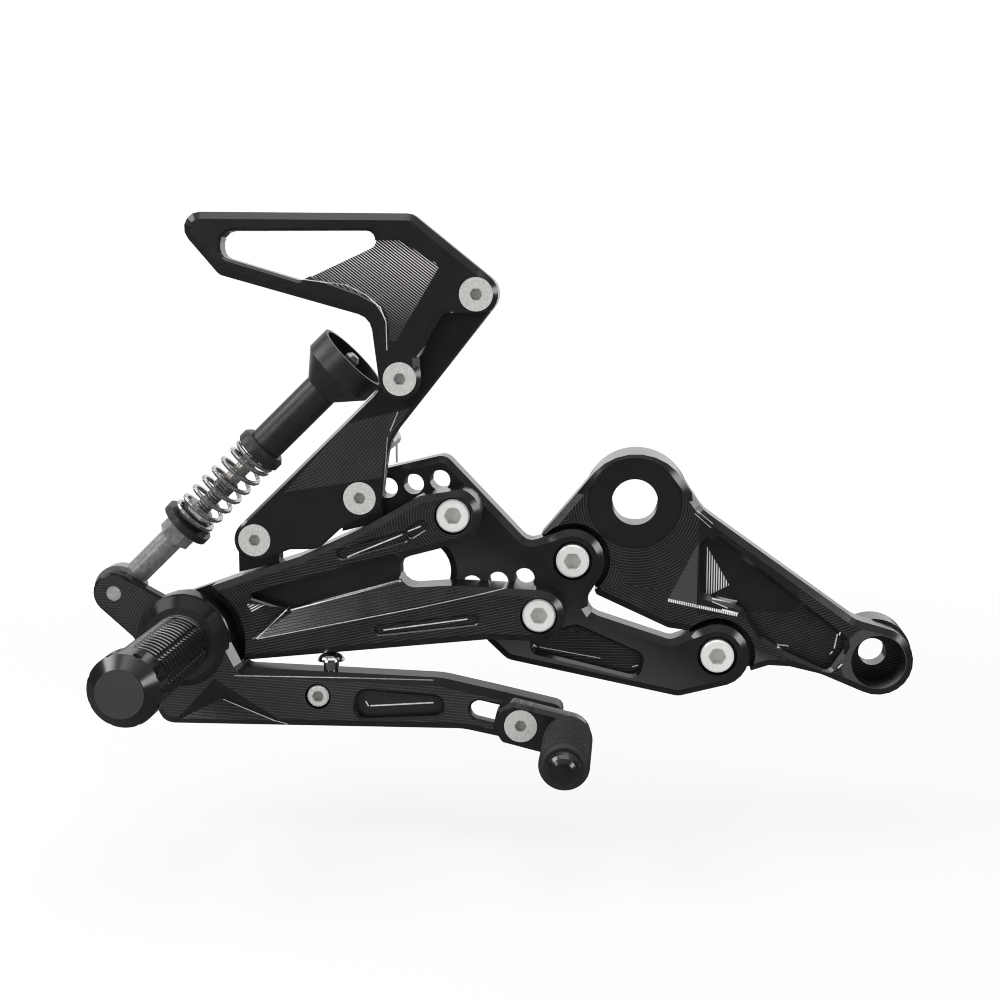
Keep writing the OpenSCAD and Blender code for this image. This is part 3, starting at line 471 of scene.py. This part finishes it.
def peg_painted_sheen(t):
    """Painted highlights on the footpeg's lands, on the upper left of each ring, where light from the upper left
    falls.
    """
    lands = t.math("POWER", t.stripes(t.math("ADD", t.y, 2.4), 3.4), 0.7)
    turned = t.math("LESS_THAN", t.math("ABSOLUTE", t.facing(FRONT)), 0.8)
    lit = t.ramp(t.facing((-0.45, 0.0, 0.89)), -0.1, 0.95, curve="SMOOTHSTEP")
    return t.product(t.product(lands, turned), t.product(lit, 0.32))


def cap_lines(t):
    return t.circle(HUB)


def cap_detail(t):
    """Faint turning rings on a lighter face."""
    return 0.0, 0.5, 0.0, 0.6


def lever_lines(t):
    return t.least(t.circle(HUB, 19), t.line(HUB, -4))


def lever_detail(t):
    """No lines on the hub's face and in the pockets of the pedal's arm."""
    pocket = t.product(t.math("GREATER_THAN", t.y, -49.0), t.math("GREATER_THAN", t.x, -115.0))
    return 0.0, 0.18, 0.0, t.most(t.inside(t.circle(HUB, 15), 0.3), pocket)


# Painted highlights on edges in the pockets and grooves: from x, z to x, z, width and strength
PEG_GLINTS = (
    (-134.9, -41.9, -147.0, -53.6, 0.35, 0.75),
    (-146.6, -53.7, -82.3, -39.9, 0.30, 0.70),
    (-82.3, -39.9, -46.2, -31.2, 0.30, 0.50),
    (-133.7, -42.5, -90.1, -30.2, 0.45, 0.90),
    (-110.7, -20.7, -89.1, -11.6, 0.45, 0.90),
    (-87.1, -10.4, -82.1, -8.3, 0.45, 0.90),
    (-96.9, -49.5, -64.1, -44.5, 0.45, 0.80),
)
MAIN_GLINTS = (
    (34.5, -42.2, 40.8, -43.7, 0.70, 0.80),
    (80.5, -50.4, 79.1, -58.3, 0.50, 0.90),
    (77.5, -60.6, 78.5, -59.6, 0.50, 0.90),
    (80.0, -64.7, 81.5, -63.1, 0.50, 0.80),
    (56.4, -57.2, 61.2, -57.7, 0.50, 0.60),
    (30.6, -38.1, 40.7, -40.1, 0.50, 0.70),
    (23.3, -4.3, 29.6, -9.8, 0.20, 0.60),
    (24.1, -3.1, 30.3, -8.2, 0.20, 0.60),
    (30.6, -39.1, 36.8, -41.6, 0.30, 0.70),
    (33.9, -69.6, 35.7, -70.0, 0.40, 0.80),
)
PLATE_GLINTS = (
    (-37.2, -59.3, -12.9, -63.3, 0.30, 0.55),
    (-39.5, -58.2, -38.3, -59.3, 0.50, 0.90),
    (-0.3, -66.5, 2.1, -65.9, 0.40, 0.80),
)
LEVER_GLINTS = (
    (-155.5, -67.9, -111.4, -68.0, 0.25, 0.60),
    (-111.4, -68.0, -77.1, -68.3, 0.25, 0.35),
    (-161.2, -78.6, -135.1, -87.6, 0.30, 0.75),
    (-102.4, -79.9, -77.5, -78.0, 0.50, 0.85),
    (-104.2, -78.1, -103.1, -80.1, 0.50, 0.70),
)
GUARD_GLINTS = (
    (-124.6, 86.0, -108.4, 83.8, 0.30, 0.70),
    (-108.4, 83.8, -100.9, 80.1, 0.35, 0.90),
    (-100.9, 80.1, -95.3, 75.7, 0.35, 0.90),
    (-95.3, 75.7, -93.1, 70.2, 0.35, 0.90),
    (-93.1, 70.2, -92.9, 59.8, 0.30, 0.60),
    (-97.6, 77.9, -93.1, 71.3, 0.20, 0.60),
    (-68.4, 73.9, -81.6, 57.2, 0.80, 0.28),
)
HEEL_GLINTS = (
    (-94.3, 26.3, -96.5, 2.0, 0.30, 0.35),
    (-90.2, 35.9, -93.3, 28.6, 0.35, 0.45),
)

# What each black piece carries; rounds are (place, radius) of its turned edges, in mm
ANODISED = {
    "main_bracket": dict(
        lines=main_lines, detail=main_detail, strokes=MAIN_GLINTS, rounds=((BORE_AXIS, 22.4), (LUG, 13.8))),
    "adjuster_plate": dict(
        lines=plate_lines, detail=plate_detail, strokes=PLATE_GLINTS,
        rounds=((SCREW_REAR, 12.8), (SCREW_FRONT, 12.8))),
    "peg_bracket": dict(
        lines=peg_lines, detail=peg_detail, strokes=PEG_GLINTS, rounds=((UPPER, 11.3), (LOWER, 10.3), (HUB, 25.0))),
    "heel_bracket": dict(
        lines=heel_lines, detail=heel_detail, strokes=HEEL_GLINTS, rounds=((HEEL_REAR, 8.3), (GUARD_TOP, 8.1))),
    "heel_guard": dict(
        detail=guard_detail, strokes=GUARD_GLINTS, rounds=((GUARD_LOW, 8.3), (GUARD_TOP, 8.5))),
    "brake_lever": dict(
        lines=lever_lines, detail=lever_detail, strokes=LEVER_GLINTS, rounds=((HUB, 19.3), (EYE, 8.6)),
        top_shade=0.42),
    "toe_link": dict(rounds=((TOE_PEG, 8.7), (TOE_SCREW, 9.0))),
    "footpeg_body": dict(painted_sheen=peg_painted_sheen, rounds=((HUB, 30.0),)),
    "footpeg_cap": dict(lines=cap_lines, detail=cap_detail, rounds=((HUB, 30.0),)),
    "toe_spindle": dict(rounds=((TOE_PEG, 20.0),)),
}


def dress():
    """Gives each node the look made for it, or else its slot's."""
    caps = [(at, 3.4) for at in (UPPER, LOWER, SCREW_REAR, SCREW_FRONT)]
    flats = [(at, 2.3) for at in (GUARD_TOP, GUARD_LOW, HEEL_FRONT, HEEL_REAR, LOCK, TOE_SCREW)]
    looks = {node: anodised("anodised_" + node, **parts) for node, parts in ANODISED.items()}
    looks["pushrod"] = brushed("threaded_steel", (0.5, 0.48, 0.46, 1), 0.26, metallic=0.6,
                               thread=(EYE, ROD_ANGLE, *THREAD, THREAD_PITCH))
    looks["stop_screw"] = brushed("polished", (0.78, 0.77, 0.76, 1), 0.14)
    looks["return_spring"] = brushed("spring_steel", (0.72, 0.71, 0.7, 1), 0.22, metallic=0.9)
    # The cap screws' heads sit in counterbores and get less light, so they get a lighter copy of the steel: painted
    # light.
    for node in ("cap_screw_upper", "cap_screw_lower", "cap_screw_rear", "cap_screw_front"):
        looks[node] = brushed("cap_" + node, (0.94, 0.93, 0.91, 1), 0.24, metallic=0.12, sockets=caps, socket_shade=0.25,
                              mottle=0.8)
    steel = (0.7, 0.69, 0.67, 1)
    by_slot = {
        "stainless": brushed("stainless", steel, 0.26, metallic=0.15, sockets=caps + flats, mottle=0.75),
        "steel": brushed("steel", steel, 0.3, metallic=0.4, sockets=caps + flats),
        "cast_steel": brushed("cast_steel", (0.52, 0.52, 0.53, 1), 0.36, metallic=0.55, mottle=0.22),
        "bronze": brushed("bronze", (0.42, 0.31, 0.17, 1), 0.4),
        "plastic": moulded("plastic", (0.012, 0.012, 0.013, 1), 0.38),
        "rubber": moulded("rubber", (0.014, 0.014, 0.014, 1), 0.62),
    }
    for part in frame["record"]["subparts"]:
        node = part["node"]
        material = looks.get(node) or by_slot[part["material_slot"]]
        for slot in frame["nodes"][node].material_slots:
            slot.material = material


# Middle of the part, which the lamps point at and the floor's shade is centred on, in metres
MIDDLE = (-0.06, -0.04, 0)
# Lamps: place, size and power, in metres and watts
LAMPS = {
    "top": ((-0.05, -0.1, 0.9), 0.9, 3.5),
    "left": ((-0.75, -0.15, 0.6), 0.4, 3.0),
    "front_left": ((-0.7, -0.9, 0.35), 0.3, 2.0),
    "front_right": ((0.75, -0.7, 0.25), 0.3, 1.6),
}


def make_lamps():
    for name, (at, size, power) in LAMPS.items():
        data = bpy.data.lights.new(name, "AREA")
        data.size = size
        data.energy = power
        lamp = bpy.data.objects.new(name, data)
        lamp.location = at
        lamp.rotation_euler = (Vector(MIDDLE) - Vector(at)).to_track_quat("-Z", "Y").to_euler()
        scene.collection.objects.link(lamp)


def make_world():
    """White to the camera; metal mirrors white behind and grey above, and dark on the camera's side."""
    world = bpy.data.worlds.new("world")
    scene.world = world
    graph = Graph(world)
    graph.nodes.clear()

    def background(strength):
        return graph.node("Background", {"Color": WHITE, "Strength": strength}).outputs[0]

    path = graph.node("LightPath").outputs
    towards = graph.node("SeparateXYZ", {0: graph.node("TexCoord").outputs["Generated"]}).outputs
    behind = graph.ramp(towards["Y"], 0.3, 0.8, 0.05, 1.0, "SMOOTHSTEP")
    above = graph.ramp(towards["Z"], 0.35, 0.85, 0.05, 0.4, "SMOOTHSTEP")
    mirrored = background(graph.math("MAXIMUM", behind, above))
    light = graph.mix_shader(path["Is Glossy Ray"], background(0.55), mirrored)
    seen = graph.math("MAXIMUM", path["Is Camera Ray"], path["Is Transmission Ray"])
    graph.node("OutputWorld", {"Surface": graph.mix_shader(seen, light, background(1.0))})


# The floor lies this far under the part, in metres, so that the lever's end stays above it at full travel
FLOOR_DROP = 0.036
# Half the floor's side, and where the camera sees its shade begin and end to fade to white, in metres
FLOOR_REACH = 1.6
FADE_START = 0.2
FADE_END = 0.6


def make_floor():
    """A pale floor that keeps the part's shadow and fades to white around it."""
    low = cad_box[0].z - FLOOR_DROP
    mesh = bpy.data.meshes.new("floor")
    corners = [(x * FLOOR_REACH, y * FLOOR_REACH, low) for x, y in ((-1, -1), (1, -1), (1, 1), (-1, 1))]
    mesh.from_pydata(corners, [], [(0, 1, 2, 3)])
    floor = bpy.data.objects.new("floor", mesh)
    scene.collection.objects.link(floor)
    material = bpy.data.materials.new("floor")
    graph = Graph(material)
    graph.nodes.clear()
    path = graph.node("LightPath").outputs
    place = graph.node("TexCoord").outputs["Object"]
    away = graph.vector("LENGTH", graph.vector("SUBTRACT", place, (MIDDLE[0], MIDDLE[1], low)))
    fade = graph.ramp(away, FADE_START, FADE_END, 0.75, 1.0, "SMOOTHSTEP")
    # The floor's mirror image in the black faces is kept dark, as in the photograph
    shade = graph.mix("RGBA", path["Is Glossy Ray"], (0.9, 0.9, 0.9, 1), (0.1, 0.1, 0.1, 1))
    diffuse = graph.node("BsdfDiffuse", {"Color": shade}).outputs[0]
    white = graph.node("Emission", {"Strength": 1.0}).outputs[0]
    surface = graph.mix_shader(graph.product(path["Is Camera Ray"], fade), diffuse, white)
    graph.node("OutputMaterial", {"Surface": surface})
    mesh.materials.append(material)


def compress_spring():
    """Gives the return spring a mesh of its own; it keeps the CAD shape."""
    spring = frame["nodes"]["return_spring"]
    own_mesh(spring)


# A narrow pixel filter keeps the fine milling lines apart, as in the photograph
scene.cycles.filter_width = 1.0
make_camera()
make_lamps()
make_world()
make_floor()
dress()
compress_spring()
scene.view_settings.view_transform = "Standard"
